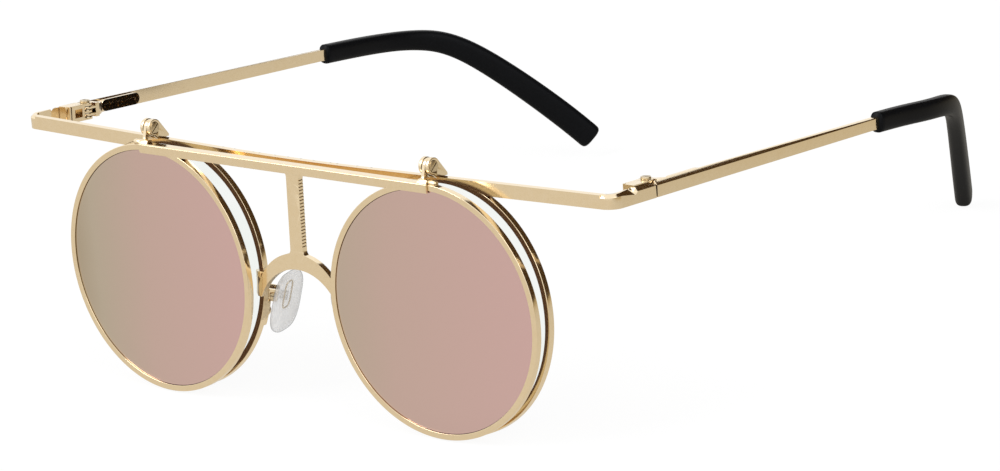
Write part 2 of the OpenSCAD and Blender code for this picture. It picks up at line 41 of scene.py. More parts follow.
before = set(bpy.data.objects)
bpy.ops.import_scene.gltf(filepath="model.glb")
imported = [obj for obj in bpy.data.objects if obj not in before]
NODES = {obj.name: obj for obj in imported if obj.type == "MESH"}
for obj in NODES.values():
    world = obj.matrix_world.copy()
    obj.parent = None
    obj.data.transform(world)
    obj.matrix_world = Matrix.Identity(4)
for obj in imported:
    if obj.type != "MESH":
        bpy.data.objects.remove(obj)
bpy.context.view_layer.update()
MM = 0.001
SIDES = ("left", "right")

# Camera of the photograph, in the frame of the part
PHOTO_SIZE = (1000, 471)
CAMERA_TARGET = (-3.454, -8.656, 13.798)
CAMERA_DISTANCE = 1054.85
CAMERA_AZIMUTH = 42.907
CAMERA_ELEVATION = 18.102
CAMERA_ROLL = -7.671
CAMERA_LENS = 198.06

# Centre line of a temple tip from the end of the bare metal: outward, along the temple, up, in mm
TIP_ROUTE = (
    (0, 0, 0), (0, 8.6, 0), (0.5, 17.6, -0.3), (-1.5, 26.6, -0.6), (-6.4, 34.2, -3), (-16.4, 50.4, -19.2),
    (-20, 56.6, -26.1))
TIP_SPANS = len(TIP_ROUTE) - 1
# The photographed tips are each bent a little off that line: shifts of its last three points, in mm
TIP_SET = {
    "left": ((0, 0, 0.6), (-0.8, 0, 1.7), (-1.2, -0.3, 2)),
    "right": ((0.4, 0, -2), (0.5, 0, -0.4), (0.5, -0.1, 0)),
}
# A moulded pad's face is turned to the front by PAD_TURN off the plain solid's, and its splay of PAD_SPLAY[0]
# becomes PAD_SPLAY[1], all in degrees
PAD_TURN = 27
PAD_SPLAY = (20, 18)


# Mesh helpers


def points_of(name):
    """All vertices of a CAD node as an (n, 3) array."""
    mesh = NODES[name].data
    flat = np.zeros(len(mesh.vertices) * 3)
    mesh.vertices.foreach_get("co", flat)
    return flat.reshape(-1, 3)


def disc_frame(name):
    """Centre, own axes and half sizes of a disc shaped node.

    The third axis is the direction in which the points spread least, turned to face the front. The
    centre is the middle of the span along the three axes, which are at right angles.
    """
    points = points_of(name)
    middle = points.mean(0)
    axis = np.linalg.svd(points - middle, full_matrices=False)[2][2]
    axis = axis if axis[1] < 0 else -axis
    across = np.cross((0.0, 0.0, 1.0), axis)
    across /= np.linalg.norm(across)
    up = np.cross(axis, across)
    basis = np.stack([across, up, axis])
    local = points @ basis.T
    low, high = local.min(0), local.max(0)
    centre = (low + high) / 2 @ basis
    return centre, basis, (high - low) / 2


def mesh_object(name, vertices, faces, smooth=True):
    """A mesh object at the origin from an (n, 3) array and a list of face arrays."""
    mesh = bpy.data.meshes.new(name)
    mesh.from_pydata(vertices.tolist(), [], [f for block in faces for f in block.tolist()])
    mesh.validate()
    mesh.update()
    if smooth:
        mesh.shade_smooth()
    piece = bpy.data.objects.new(name, mesh)
    bpy.context.scene.collection.objects.link(piece)
    return piece


def ring_faces(rings, count, closed_rings=False):
    """Quads between neighbouring rings of a grid: corner (i, j) joins (i, j+1), (i+1, j+1), (i+1, j)."""
    i = np.arange(rings if closed_rings else rings - 1)[:, None]
    j = np.arange(count)[None, :]
    following, onward = (i + 1) % rings, (j + 1) % count
    here, there = i * count, following * count
    quads = np.stack([here + j, here + onward, there + onward, there + j], -1)
    return quads.reshape(-1, 4)


def rounded_profile(corners, radii, steps=5):
    """Closed outline with each corner replaced by an arc.

    A corner's arc touches both sides at radius / tan(half angle) from the corner, and its points
    are a quadratic blend between the two touching points through the corner.
    """
    corners = np.asarray(corners, float)
    before = np.roll(corners, 1, 0) - corners
    after = np.roll(corners, -1, 0) - corners
    before /= np.linalg.norm(before, axis=1)[:, None]
    after /= np.linalg.norm(after, axis=1)[:, None]
    half = np.arccos(np.clip((before * after).sum(1), -1, 1)) / 2
    reach = (np.asarray(radii, float) / np.tan(half))[:, None]
    t = np.linspace(0, 1, steps)[None, :, None]
    start = (corners + before * reach)[:, None]
    end = (corners + after * reach)[:, None]
    arc = (1 - t) ** 2 * start + 2 * t * (1 - t) * corners[:, None] + t**2 * end
    return arc.reshape(-1, 2)


def lathe(name, profile, centre, basis, steps=256):
    """Closed ring: each profile point (radius r, height h) goes to centre + r(cos a X + sin a Y) + h Z."""
    turn = np.linspace(0, 2 * math.pi, steps, endpoint=False)[:, None]
    radius, height = profile[:, 0][None, :], profile[:, 1][None, :]
    local = np.stack([radius * np.cos(turn), radius * np.sin(turn), height + 0 * turn], -1)
    world = local.reshape(-1, 3) @ basis + centre
    return mesh_object(name, world, [ring_faces(steps, len(profile), True)])


def ring_tube(name, path, radius, steps=12):
    """A round wire along a closed flat path.

    At each point the section is a circle spanned by the path's outward direction (the tangent
    crossed with the plane's normal) and the plane's normal.
    """
    tangent = np.roll(path, -1, 0) - np.roll(path, 1, 0)
    tangent /= np.linalg.norm(tangent, axis=1)[:, None]
    normal = np.linalg.svd(path - path.mean(0), full_matrices=False)[2][2]
    outward = np.cross(tangent, normal)
    turn = np.linspace(0, 2 * math.pi, steps, endpoint=False)[None, :, None]
    grid = path[:, None] + radius * (np.cos(turn) * outward[:, None] + np.sin(turn) * normal)
    return mesh_object(name, grid.reshape(-1, 3), [ring_faces(len(path), steps, True)])


def uniform_spline(route, u):
    """Points of the uniform cubic B-spline at parameters u, one unit per span.

    The route gets one more point at each end, mirrored through the end point, so that the curve
    starts and ends on it. Each point is the four nearest ones weighted by the cubic basis.
    """
    ends = 2 * route[[0, -1]] - route[[1, -2]]
    padded = np.concatenate([ends[:1], route, ends[1:]])
    i = np.minimum(u.astype(int), len(route) - 2)
    t = (u - i)[:, None]
    weights = ((1 - t) ** 3, 3 * t**3 - 6 * t**2 + 4, -3 * t**3 + 3 * t**2 + 3 * t + 1, t**3)
    return sum(w * padded[i + k] for k, w in enumerate(weights)) / 6


def swept(centres, across, upward, half_across, half_up, power, steps=40):
    """Points and faces of a solid of rounded ovals along a line.

    Point (k, a) is centre k + half width k * C * across k + half height k * S * upward k, where C and S
    are the cosine and sine of a with their sizes raised to 2 / power. One face closes each end.
    """
    turn = np.linspace(0, 2 * math.pi, steps, endpoint=False)
    c, s = (np.sign(v) * np.abs(v) ** (2 / power) for v in (np.cos(turn), np.sin(turn)))
    side = half_across[:, None, None] * c[None, :, None] * np.broadcast_to(across, centres.shape)[:, None]
    rise = half_up[:, None, None] * s[None, :, None] * np.broadcast_to(upward, centres.shape)[:, None]
    points = (centres[:, None] + side + rise).reshape(-1, 3)
    first = np.arange(steps)[None, :]
    return points, [ring_faces(len(centres), steps), first[:, ::-1], first + len(points) - steps]


def joined(*shapes):
    """Several (points, faces) shapes as one."""
    offsets = np.cumsum([0] + [len(points) for points, _ in shapes])
    faces = [block + offset for (_, blocks), offset in zip(shapes, offsets) for block in blocks]
    return np.concatenate([points for points, _ in shapes]), faces


def face_outward(piece):
    """Turns the faces of a closed mesh outward where its signed volume is negative."""
    mesh = piece.data
    mesh.calc_loop_triangles()
    points = np.zeros(len(mesh.vertices) * 3)
    mesh.vertices.foreach_get("co", points)
    points = points.reshape(-1, 3)
    index = np.zeros(len(mesh.loop_triangles) * 3, np.int32)
    mesh.loop_triangles.foreach_get("vertices", index)
    a, b, c = points[index.reshape(-1, 3)].transpose(1, 0, 2)
    if (np.cross(a, b) * c).sum() < 0:
        mesh.flip_normals()
    return piece


# Materials


def linear(colour):
    """sRGB hex text to a linear colour with full opacity."""
    values = [int(colour[k : k + 2], 16) / 255 for k in (1, 3, 5)]
    return tuple(v / 12.92 if v <= 0.04045 else ((v + 0.055) / 1.055) ** 2.4 for v in values) + (1.0,)


def feed(tree, socket, value):
    """Sets a socket to a value, or links another node's output to it."""
    if isinstance(value, bpy.types.NodeSocket):
        tree.links.new(value, socket)
    else:
        socket.default_value = value


def add(tree, kind, **settings):
    """Adds a node. Each setting is one of its properties, or a socket's name with _ for a space."""
    node = tree.nodes.new(kind)
    for key, value in settings.items():
        if key in node.bl_rna.properties:
            setattr(node, key, value)
        else:
            feed(tree, node.inputs[key.replace("_", " ")], value)
    return node


def maths(tree, operation, *terms):
    """The result of a math node; each term is a number or another node's output."""
    node = add(tree, "ShaderNodeMath", operation=operation)
    for socket, term in zip(node.inputs, terms):
        feed(tree, socket, term)
    return node.outputs["Value"]


def blend(tree, share, first, second):
    """A shader that turns from the first into the second as share goes from 0 to 1."""
    node = add(tree, "ShaderNodeMixShader")
    for socket, value in zip(node.inputs, (share, first, second)):
        feed(tree, socket, value)
    return node.outputs["Shader"]


def vectors(tree, operation, first, second):
    """A vector math node of two vectors, each a triple or another node's output."""
    node = add(tree, "ShaderNodeVectorMath", operation=operation)
    for socket, value in zip(node.inputs, (first, second)):
        feed(tree, socket, value)
    return node


def noise(tree, place, size, detail=2.0):
    """Noise from 0 to 1 over the part's own coordinates, with features about one size across."""
    node = add(tree, "ShaderNodeTexNoise", Vector=place.outputs["Object"], Scale=1 / size, Detail=detail)
    return node.outputs["Fac"]


def spread(tree, value, low, high, start=0.0, end=1.0):
    """Maps start to low and end to high, and stays at those beyond them."""
    node = add(
        tree, "ShaderNodeMapRange", Value=value, From_Min=start, From_Max=end, To_Min=low, To_Max=high)
    return node.outputs["Result"]


def ramp(tree, source, stops):
    """The colour at source on a ramp of (position, hex colour) stops."""
    node = add(tree, "ShaderNodeValToRGB", Fac=source)
    elements = node.color_ramp.elements
    while len(elements) < len(stops):
        elements.new(0.5)
    for element, (position, colour) in zip(elements, stops):
        element.position = position
        element.color = linear(colour)
    return node.outputs["Color"]


def material(name):
    """A new node material with only its output; returns it, its tree and the output's socket."""
    made = bpy.data.materials.new(name)
    made.use_nodes = True
    made.node_tree.nodes.clear()
    output = made.node_tree.nodes.new("ShaderNodeOutputMaterial")
    return made, made.node_tree, output.inputs["Surface"]


def painted_shade(tree, tone, depth, colour):
    """A tone darkened where other surfaces lie closer than depth: painted shade where light doesn't reach."""
    near = add(tree, "ShaderNodeAmbientOcclusion", Distance=depth, samples=8)
    shade = ramp(tree, near.outputs["AO"], [(0.2, colour), (0.75, "#ffffff")])
    mixed = add(tree, "ShaderNodeMixRGB", blend_type="MULTIPLY", Fac=1.0, Color1=tone, Color2=shade)
    return mixed.outputs["Color"]


def plated_gold(settings, name="gold_electroplate_polished", field=0):
    """Electroplated gold over polished nickel silver: a mirror finish with a faint orange peel,
    0.9 mm across, and hairline polish marks that spread the highlights a little. Where field is 1 or -1,
    the flat face that looks along that way of X is coloured a grainy near-black."""
    peel_size, mark_size, fill_size = 0.9 * MM, 0.25 * MM, 0.4 * MM
    shade_depth, peel_depth = 0.6 * MM, 0.01 * MM
    squarely = 0.97
    made, tree, surface = material(name)
    place = add(tree, "ShaderNodeTexCoord")
    peel = noise(tree, place, peel_size)
    marks = noise(tree, place, mark_size, 3.0)
    tone = ramp(tree, peel, [(0.35, settings.gold_deep), (0.65, settings.gold)])
    # painted shade: the plating darkens to deep brown in corners and joints
    tone = painted_shade(tree, tone, shade_depth, settings.gold_shade_and_fill)
    if field:
        lean = add(tree, "ShaderNodeSeparateXYZ", Vector=place.outputs["Normal"])
        flat = maths(tree, "GREATER_THAN", maths(tree, "MULTIPLY", lean.outputs["X"], field), squarely)
        grain = noise(tree, place, fill_size)
        fill = ramp(tree, grain, [(0.58, settings.field), (0.74, settings.gold_shade_and_fill)])
        tone = add(tree, "ShaderNodeMixRGB", Fac=flat, Color1=tone, Color2=fill).outputs["Color"]
    bump = add(tree, "ShaderNodeBump", Height=peel, Strength=0.03, Distance=peel_depth)
    shader = add(
        tree, "ShaderNodeBsdfPrincipled", Base_Color=tone, Roughness=spread(tree, marks, 0.10, 0.17),
        Normal=bump.outputs["Normal"], Metallic=1.0)
    tree.links.new(shader.outputs["BSDF"], surface)
    return made


def turned_steel(settings):
    """Turned stainless steel screw, gold flashed: a fine grain left by the tool, 0.15 mm across, duller
    than the frame, and darkened in its slot by painted shade."""
    grain_size, slot_shade_depth = 0.15 * MM, 0.35 * MM
    made, tree, surface = material("steel_screw_turned")
    grain = noise(tree, add(tree, "ShaderNodeTexCoord"), grain_size)
    tone = ramp(tree, grain, [(0.3, settings.screw_deep), (0.7, settings.screw)])
    # painted shade: the slot and other close corners turn black
    tone = painted_shade(tree, tone, slot_shade_depth, settings.field)
    shader = add(tree, "ShaderNodeBsdfPrincipled", Base_Color=tone, Metallic=1.0, Roughness=0.24)
    tree.links.new(shader.outputs["BSDF"], surface)
    return made


def mirror_lens(name, centre, start, end, settings):
    """Polycarbonate with a thin metal mirror coat: khaki at one edge, turning to rose gold at the other; the
    rose gold is the coat's own colour, the khaki a painted reflection.
    The wearer's side is the bare dark tint. A little light still passes, so what lies close behind shows
    as a ghost. The tone runs from start to end, both measured along X from the lens centre."""
    cloud_size, cloud_share = 14 * MM, 0.05
    leans_back, rear_gloss, rear_share = 0.1, 0.05, 0.55
    made, tree, surface = material(name)
    place = add(tree, "ShaderNodeTexCoord")
    shift = vectors(tree, "SUBTRACT", place.outputs["Object"], tuple(centre))
    parts = add(tree, "ShaderNodeSeparateXYZ", Vector=shift.outputs["Vector"])
    # painted reflection: the tone runs from khaki at one edge to the coat's own rose gold at the other
    across = spread(tree, parts.outputs["X"], 0.0, 1.0, start, end)
    clouded = maths(tree, "MULTIPLY_ADD", noise(tree, place, cloud_size, 1.0), cloud_share, across)
    tone = ramp(tree, clouded, [
        (0.0, settings.lens_edge), (0.16, settings.lens_left), (0.45, settings.lens_middle),
        (1.0, settings.lens_right)])
    coat = add(tree, "ShaderNodeBsdfPrincipled", Base_Color=tone, Metallic=1.0, Roughness=0.09)
    lean = add(tree, "ShaderNodeSeparateXYZ", Vector=place.outputs["Normal"])
    rear = maths(tree, "GREATER_THAN", lean.outputs["Y"], leans_back)
    inside = add(tree, "ShaderNodeNewGeometry").outputs["Backfacing"]
    skin = maths(tree, "MULTIPLY", maths(tree, "SUBTRACT", 1.0, inside), rear_gloss)
    body = add(tree, "ShaderNodeBsdfDiffuse", Color=linear(settings.lens_back))
    shine = add(tree, "ShaderNodeBsdfGlossy", Roughness=0.05)
    tint = blend(tree, skin, body.outputs["BSDF"], shine.outputs["BSDF"])
    face = blend(tree, maths(tree, "MAXIMUM", rear, inside), coat.outputs["BSDF"], tint)
    through = add(tree, "ShaderNodeBsdfTransparent", Color=linear(settings.lens_through))
    share = spread(tree, rear, settings.see_through, rear_share)
    tree.links.new(blend(tree, share, face, through.outputs["BSDF"]), surface)
    return made


def clear_lens(settings):
    """Clear hard-coated polycarbonate: a glass-like gloss over a nearly invisible body, with a very faint
    cloudy haze, 6 mm across."""
    haze_size = 6 * MM
    made, tree, surface = material("polycarbonate_clear_coated")
    haze = noise(tree, add(tree, "ShaderNodeTexCoord"), haze_size, 1.0)
    tone = ramp(tree, haze, [(0.3, settings.clear_deep), (0.7, settings.clear)])
    through = add(tree, "ShaderNodeBsdfTransparent", Color=tone)
    gloss = add(tree, "ShaderNodeBsdfGlossy", Roughness=0.03)
    edge = add(tree, "ShaderNodeFresnel", IOR=1.58)
    inside = add(tree, "ShaderNodeNewGeometry").outputs["Backfacing"]
    share = maths(tree, "MULTIPLY", edge.outputs["Fac"], maths(tree, "SUBTRACT", 1.0, inside))
    tree.links.new(blend(tree, share, through.outputs["BSDF"], gloss.outputs["BSDF"]), surface)
    return made


def soft_silicone(settings):
    """Moulded clear silicone: milky, softly glossy, with a fine moulded texture, and greyer towards its
    outline, where the eye looks through more of it."""
    grain_size, grain_depth = 0.6 * MM, 0.05 * MM
    made, tree, surface = material("silicone_moulded_clear")
    grain = noise(tree, add(tree, "ShaderNodeTexCoord"), grain_size)
    tone = ramp(tree, grain, [(0.3, settings.pad_deep), (0.7, settings.pad)])
    bump = add(tree, "ShaderNodeBump", Height=grain, Strength=0.15, Distance=grain_depth)
    body = add(
        tree, "ShaderNodeBsdfPrincipled", Base_Color=tone, Normal=bump.outputs["Normal"], Roughness=0.22,
        IOR=1.41, Transmission_Weight=0.2)
    rim = add(tree, "ShaderNodeLayerWeight", Blend=0.5)
    edge = ramp(tree, rim.outputs["Facing"], [(0.55, settings.pad), (0.95, settings.pad_edge)])
    through = add(tree, "ShaderNodeBsdfTransparent", Color=edge)
    tree.links.new(blend(tree, 0.6, body.outputs["BSDF"], through.outputs["BSDF"]), surface)
    return made


def satin_nylon(settings):
    """Injection moulded black nylon tip, tumbled to a satin gloss, with a very fine leather-like grain."""
    grain_size, grain_depth = 0.35 * MM, 0.03 * MM
    made, tree, surface = material("nylon_moulded_satin_black")
    grain = noise(tree, add(tree, "ShaderNodeTexCoord"), grain_size, 3.0)
    tone = ramp(tree, grain, [(0.3, settings.tip_deep), (0.7, settings.tip)])
    bump = add(tree, "ShaderNodeBump", Height=grain, Strength=0.12, Distance=grain_depth)
    shader = add(
        tree, "ShaderNodeBsdfPrincipled", Base_Color=tone, Roughness=spread(tree, grain, 0.30, 0.42),
        Normal=bump.outputs["Normal"], IOR=1.45, Specular_IOR_Level=0.09)
    tree.links.new(shader.outputs["BSDF"], surface)
    return made


def dress(piece, finish):
    """Gives a piece one finish in all its material slots."""
    piece.data.materials.clear()
    piece.data.materials.append(finish)


def soften(name, width, angle=35):
    """Welds a CAD node's triangles, breaks its sharp edges by width and shades it smooth, all by modifiers.
    The last one weighs the normals by area, so that large faces stay flat next to the broken edges."""
    node = NODES[name]
    for key in ("custom_normal", "sharp_edge", "sharp_face"):
        if key in node.data.attributes:
            node.data.attributes.remove(node.data.attributes[key])
    node.data.shade_smooth()
    weld = node.modifiers.new("weld", "WELD")
    weld.merge_threshold = 0.002 * MM
    if width:
        bevel = node.modifiers.new("edge_break", "BEVEL")
        bevel.width = width
        bevel.segments = 2
        bevel.limit_method = "ANGLE"
        bevel.angle_limit = math.radians(angle)
        bevel.use_clamp_overlap = True
        bevel.miter_outer = "MITER_ARC"
    split = node.modifiers.new("crease", "EDGE_SPLIT")
    split.split_angle = math.radians(angle)
    flat = node.modifiers.new("flat_faces", "WEIGHTED_NORMAL")
    flat.weight = 60
    return node


# Sizes and colours that a user would change


class SunglassesSettings(bpy.types.PropertyGroup):
    """Sizes and colours of the dressed sunglasses."""

    edge_break: bpy.props.FloatProperty(
        name="Edge break", description="Rounding of the gold strips' edges", default=0.09 * MM, unit="LENGTH"
    )
    rim_round: bpy.props.FloatProperty(
        name="Rim rounding", description="Radius of the rims' edges", default=0.10 * MM, unit="LENGTH"
    )
    gold: bpy.props.StringProperty(name="Gold", description="Plating, sRGB hex", default="#fae7c5")
    gold_deep: bpy.props.StringProperty(
        name="Gold, deep", description="Darker plating tone", default="#f8e4c0"
    )
    # Painted shade: the plating's tone in corners and joints; also the lighter grain of the dark face
    gold_shade_and_fill: bpy.props.StringProperty(
        name="Gold, crevices", description="Plating tone deep in corners and joints", default="#8a5f2c"
    )
    # Also the colour of the painted shade in the screw slots
    field: bpy.props.StringProperty(
        name="Black fill", description="Black of the etched fields and the screw slots", default="#1a130c"
    )
    screw: bpy.props.StringProperty(name="Screw", description="Screw metal", default="#efdfc0")
    screw_deep: bpy.props.StringProperty(
        name="Screw, deep", description="Darker screw metal", default="#cdb893"
    )
    # Lens tones: rose gold is the coat's own colour, the khaki towards the left edge is a painted reflection
    lens_edge: bpy.props.StringProperty(
        name="Lens edge", description="Mirror coat at its left edge", default="#c6b8a1"
    )
    lens_left: bpy.props.StringProperty(
        name="Lens left", description="Mirror coat, left part", default="#d7cbba"
    )
    lens_middle: bpy.props.StringProperty(
        name="Lens middle", description="Mirror coat, middle", default="#e5cac3"
    )
    lens_right: bpy.props.StringProperty(
        name="Lens right", description="Mirror coat, right part", default="#efcbcb"
    )
    lens_back: bpy.props.StringProperty(
        name="Lens back", description="Dark tint on the wearer's side of the mirror lens", default="#1d1510"
    )
    lens_through: bpy.props.StringProperty(
        name="Lens body", description="Tint of the light that passes the mirror lens", default="#c8b0a0"
    )
    see_through: bpy.props.FloatProperty(
        name="See through", description="Share of light that passes the mirror lens", default=0.08,
        subtype="FACTOR"
    )
    clear: bpy.props.StringProperty(name="Clear lens", description="Clear lens body", default="#fdfefd")
    clear_deep: bpy.props.StringProperty(
        name="Clear lens, deep", description="Its darker tone", default="#fafcfa"
    )
    pad: bpy.props.StringProperty(name="Pad", description="Nose pad silicone", default="#fdfdfd")
    pad_deep: bpy.props.StringProperty(name="Pad, deep", description="Its darker tone", default="#f4f5f6")
    pad_edge: bpy.props.StringProperty(
        name="Pad outline", description="The silicone's tone at its outline", default="#a4a8ae"
    )
    pad_width: bpy.props.FloatProperty(
        name="Pad width", description="Width of a nose pad", default=8.4 * MM, unit="LENGTH"
    )
    pad_height: bpy.props.FloatProperty(
        name="Pad height", description="Height of a nose pad", default=12.4 * MM, unit="LENGTH"
    )
    pad_thick: bpy.props.FloatProperty(
        name="Pad thickness", description="Thickness of a nose pad", default=2.0 * MM, unit="LENGTH"
    )
    core_width: bpy.props.FloatProperty(
        name="Pad core width", description="Width of the core in a nose pad", default=2.4 * MM, unit="LENGTH"
    )
    core_height: bpy.props.FloatProperty(
        name="Pad core height", description="Height of the core in a nose pad", default=5.6 * MM,
        unit="LENGTH"
    )
    tip_thick: bpy.props.FloatProperty(
        name="Tip thickness", description="Thickness of a temple tip", default=2.8 * MM, unit="LENGTH"
    )
    tip_height: bpy.props.FloatProperty(
        name="Tip height", description="Height of a temple tip at its start", default=3.9 * MM, unit="LENGTH"
    )
    tip_end: bpy.props.FloatProperty(
        name="Tip end height", description="Height of a temple tip at its blunt end", default=5.2 * MM,
        unit="LENGTH"
    )
    tip: bpy.props.StringProperty(name="Tip", description="Temple tip black", default="#111215")
    tip_deep: bpy.props.StringProperty(name="Tip, deep", description="Its darker tone", default="#0d0e10")
    floor: bpy.props.StringProperty(name="Floor", description="Studio floor", default="#f4f4f4")
    lamp: bpy.props.FloatProperty(
        name="Key lamp", description="Power of the large soft lamp", default=1.3, unit="POWER"
    )


def settings_of(context):
    return context.scene.sunglasses


GOLD_NODES = [n for n in NODES if n.startswith((
    "brow_bar", "bridge_plate", "flip_bracket", "pad_arm", "frame_hinge", "front_bar", "flip_strap",
    "rim_lock", "temple_bar", "temple_hinge", "spring_housing"))]
SCREW_NODES = [n for n in NODES if "screw" in n]


class SUNGLASSES_OT_metalwork(bpy.types.Operator):
    """Gives the gold strips, hinge parts and screws their plating and broken edges"""

    bl_idname = "sunglasses.metalwork"
    bl_label = "Metalwork"

    def execute(self, context):
        settings = settings_of(context)
        gold, steel = plated_gold(settings), turned_steel(settings)
        wide = ("brow_bar", "front_bar", "temple_bar", "bridge_plate")
        for name in GOLD_NODES:
            width = settings.edge_break if name.startswith(wide) else settings.edge_break / 2
            dress(soften(name, width), gold)
        for name in SCREW_NODES:
            dress(soften(name, settings.edge_break / 3), steel)
        for side, inward in zip(SIDES, (1, -1)):
            # the inner flat face of each spring housing is coloured a grainy near-black
            dark_faced = plated_gold(settings, f"gold_plate_black_faced_{side}", inward)
            dress(NODES[f"spring_housing_{side}"], dark_faced)
        return {"FINISHED"}


class SUNGLASSES_OT_rims(bpy.types.Operator):
    """Turns the four grooved rims with rounded edges"""

    bl_idname = "sunglasses.rims"
    bl_label = "Rims"

    def execute(self, context):
        settings = settings_of(context)
        gold = bpy.data.materials["gold_electroplate_polished"]
        lip, groove, fine = 0.4 * MM, 0.45 * MM, 0.06 * MM
        for place, body in (("rear", "frame"), ("front", "flip_front")):
            for side in SIDES:
                node = f"{place}_rim_{side}"
                centre, basis, half = disc_frame(node)
                inner = disc_frame(f"{place}_lens_{side}")[2][0] - lip
                outer, depth = half[0], half[2]
                corners = [
                    (inner, depth), (outer, depth), (outer, -depth), (inner, -depth),
                    (inner, -groove), (inner + groove, 0), (inner, groove)]
                radii = [settings.rim_round * 0.6] + [settings.rim_round] * 2 + [fine] * 4
                piece = lathe(f"{node}_turned", rounded_profile(corners, radii), centre, basis)
                dress(face_outward(piece), gold)
                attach(piece, body)
                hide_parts(node)
        return {"FINISHED"}


class SUNGLASSES_OT_lenses(bpy.types.Operator):
    """Gives the mirrored front lenses and the clear rear lenses their coats"""

    bl_idname = "sunglasses.lenses"
    bl_label = "Lenses"

    def execute(self, context):
        settings = settings_of(context)
        clear = clear_lens(settings)
        for side, lead in zip(SIDES, (1.0, 1.5)):
            name = f"front_lens_{side}"
            centre, _, half = disc_frame(name)
            coat = mirror_lens(f"mirror_coat_rose_gold_{side}", centre, -lead * half[0], half[0], settings)
            dress(soften(name, 0), coat)
            dress(soften(f"rear_lens_{side}", 0), clear)
        return {"FINISHED"}


class SUNGLASSES_OT_soft_parts(bpy.types.Operator):
    """Moulds the black tips and the clear nose pads with their cores"""

    bl_idname = "sunglasses.soft_parts"
    bl_label = "Tips and nose pads"

    def execute(self, context):
        settings = settings_of(context)
        black, silicone = satin_nylon(settings), soft_silicone(settings)
        for side in SIDES:
            self.tip(side, settings, black)
            self.pad(side, settings, silicone)
        return {"FINISHED"}

    def tip(self, side, settings, finish):
        """A tip swept along TIP_ROUTE, which starts in the middle of the plain tip's front face.

        The height grows from tip_height to tip_end by the smooth step 3 t^2 - 2 t^3, the thickness by two
        thirds of that share, and both shrink by the fourth root of 1 - t^4 over the last bit of the line,
        which rounds the blunt end. The first ring is a little smaller, which rounds the mouth.
        """
        blunt, flare_from, flare_over, mouth, step = 0.16, 2, 3.4, 0.93, 0.02
        bar, old = points_of(f"temple_bar_{side}"), points_of(f"temple_tip_{side}")
        along = np.linalg.svd(bar - bar.mean(0), full_matrices=False)[2][0]
        along *= np.sign(along[1])
        up = np.array([0, -along[2], along[1]]) / math.hypot(along[1], along[2])
        out = np.cross(along, up) * (1 if side == "right" else -1)
        basis = np.stack([out, along, up])
        local = old @ basis.T
        front = local[local[:, 1] < local[:, 1].min() + 0.05 * MM]
        start = (front.min(0) + front.max(0)) / 2
        u = np.concatenate([
            [0], np.linspace(0.03, TIP_SPANS - blunt, 60),
            TIP_SPANS - blunt + blunt * np.sin(np.linspace(0, math.pi / 2, 11)[1:])])
        route = np.array(TIP_ROUTE, float)
        route[-3:] += TIP_SET[side]
        route *= MM
        centres = (start + uniform_spline(route, u)) @ basis
        ahead, behind = np.minimum(u + step, TIP_SPANS), np.maximum(u - step, 0)
        tangent = (uniform_spline(route, ahead) - uniform_spline(route, behind)) @ basis
        tangent /= np.linalg.norm(tangent, axis=1)[:, None]
        across = np.cross(tangent, up)
        across /= np.linalg.norm(across, axis=1)[:, None]
        upward = np.cross(across, tangent)
        close = np.clip((u - TIP_SPANS + blunt) / (blunt * 1.02), 0, 1)
        size = np.where(u < step, mouth, (1 - close**4) ** 0.25)
        t = np.clip((u - flare_from) / flare_over, 0, 1)
        flare = (settings.tip_end / settings.tip_height - 1) * t * t * (3 - 2 * t)
        half_across = settings.tip_thick / 2 * size * (1 + flare * 2 / 3)
        half_up = settings.tip_height / 2 * size * (1 + flare)
        shape = swept(centres, across, upward, half_across, half_up, 3)
        piece = mesh_object(f"tip_{side}_moulded", *shape)
        dress(face_outward(piece), finish)
        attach(piece, f"temple_{side}")
        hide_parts(f"temple_tip_{side}")

    def pad(self, side, settings, finish):
        """A pad with a rounded edge on its boss, and the metal core inside.

        The plain solid gives the boss and three axes: up the pad, across it, and behind it to the arm. The
        pad's own axes are those turned by PAD_TURN and PAD_SPLAY, and it sits a little nearer the front than
        the boss. Its rings are stacked along the thickness: the ring at angle a lies half the thickness
        times sin a off the middle, and is smaller all round by half the thickness times 1 - cos a.
        """
        boss_radius, stem_half, plate_gap = 0.9 * MM, 0.48 * MM, 2.3 * MM
        forward, core_rise = 0.65 * MM, 1.4 * MM
        points = points_of(f"nose_pad_{side}")
        middle = points.mean(0)
        long_way, _, behind = np.linalg.svd(points - middle, full_matrices=False)[2]
        long_way *= np.sign(long_way[2])
        reach = (points - middle) @ behind
        behind *= np.sign(reach.max() + reach.min())
        frame_axes = np.stack([np.cross(behind, long_way), long_way, behind])
        local = points @ frame_axes.T
        end = (local.min(0) + local.max(0)) / 2
        end[2] = local[:, 2].max()
        boss = (end - (0, 0, boss_radius)) @ frame_axes
        rise = np.array([-2.7, -1.2, 0, 0.3, 0.55, 0.72, 0.83, 0.88]) * MM
        round_end = 0.88 * MM * np.sqrt(1 - (np.maximum(rise, 0) / boss_radius) ** 2)
        stem = swept(
            boss + rise[:, None] * behind, frame_axes[0], long_way, 0 * rise + stem_half, round_end, 4, 24)

        mirror = np.diag([1 if side == "right" else -1, 1, 1])
        turn = np.eye(3)
        for angle, axis in ((PAD_SPLAY[0], "Y"), (PAD_TURN, "Z"), (-PAD_SPLAY[1], "Y")):
            turn = np.array(Matrix.Rotation(math.radians(angle), 3, axis)) @ turn
        across, upward, back = frame_axes @ (mirror @ turn @ mirror).T
        half = settings.pad_thick / 2
        front = across * -np.sign(across[1])
        centre = boss - back * (half + plate_gap) + front * forward
        angle = np.linspace(-math.pi / 2, math.pi / 2, 17)
        shrink = half * (1 - np.cos(angle))
        plate = swept(
            centre + half * np.sin(angle)[:, None] * back, across, upward,
            settings.pad_width / 2 - shrink, settings.pad_height / 2 - shrink, 3.1, 64)
        piece = mesh_object(f"pad_{side}_moulded", *joined(stem, plate))
        dress(face_outward(piece), finish)
        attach(piece, f"pad_{side}")
        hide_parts(f"nose_pad_{side}")
        self.core(side, settings, centre + upward * core_rise, across, upward)

